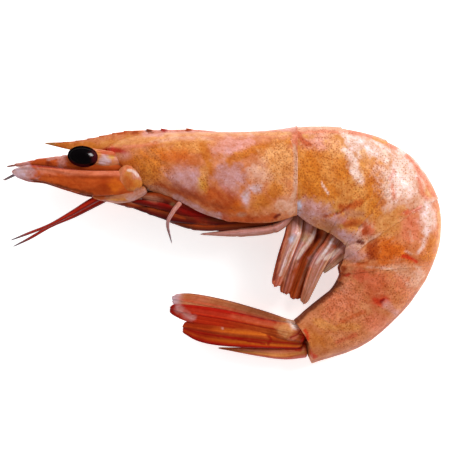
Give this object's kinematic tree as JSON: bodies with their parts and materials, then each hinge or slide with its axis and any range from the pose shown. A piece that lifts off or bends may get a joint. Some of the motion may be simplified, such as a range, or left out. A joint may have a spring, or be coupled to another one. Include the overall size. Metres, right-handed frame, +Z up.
{
  "type": "tiger prawn",
  "caption": "Whole tiger prawn in its shell, lying on its side with the tail curled under and the fan pointing forward, with eyes, feelers, legs and swimming legs.",
  "frame": {"origin": "on the table the prawn lies on, under the middle of its bounding box", "axes": "+X from the head towards the bend of the tail, +Y towards the back of the head shield, +Z up, from the prawn's right side to its left side"},
  "size_m": [0.1094, 0.0594, 0.0207],
  "materials": {
    "shell": "moist translucent orange-pink shell with fine darker specks",
    "red_shell": "moist translucent red shell of the tail fan and feelers",
    "pale_limb": "moist pale pink shell of the swimming legs and hind legs",
    "dark_limb": "moist dark red-brown shell of the folded walking legs",
    "eye": "wet black with a dark red rear edge"
  },
  "bodies": {
    "root": {"head_shield": "shell", "tail_shell_1": "shell", "tail_shell_2": "shell", "tail_shell_3": "shell", "tail_shell_4": "shell", "tail_shell_5": "shell", "tail_shell_6": "shell", "face": "shell", "eye_left": "eye", "eye_stalk_left": "pale_limb", "feeler_base_left": "shell", "feeler_scale_left": "shell", "antennule_left": "shell", "feeler_left": "red_shell", "eye_right": "eye", "eye_stalk_right": "pale_limb", "feeler_base_right": "shell", "feeler_scale_right": "shell", "antennule_right": "shell", "feeler_right": "red_shell", "breast": "dark_limb", "jaw_foot_left": "dark_limb", "leg_1_left": "dark_limb", "leg_2_left": "dark_limb", "leg_3_left": "dark_limb", "leg_4_left": "dark_limb", "leg_5_left": "pale_limb", "jaw_foot_right": "dark_limb", "leg_1_right": "dark_limb", "leg_2_right": "dark_limb", "leg_3_right": "dark_limb", "leg_4_right": "dark_limb", "leg_5_right": "pale_limb", "claw_left": "pale_limb", "swimmeret_1_left": "pale_limb", "swimmeret_1_right": "pale_limb", "swimmeret_2_left": "pale_limb", "swimmeret_2_right": "pale_limb", "swimmeret_3_left": "pale_limb", "swimmeret_3_right": "pale_limb", "swimmeret_4_left": "pale_limb", "swimmeret_4_right": "pale_limb", "swimmeret_5_left": "pale_limb", "swimmeret_5_right": "pale_limb", "telson": "red_shell", "fan_outer_left": "red_shell", "fan_inner_left": "red_shell", "fan_outer_right": "red_shell", "fan_inner_right": "red_shell"}
  },
  "joints": []
}
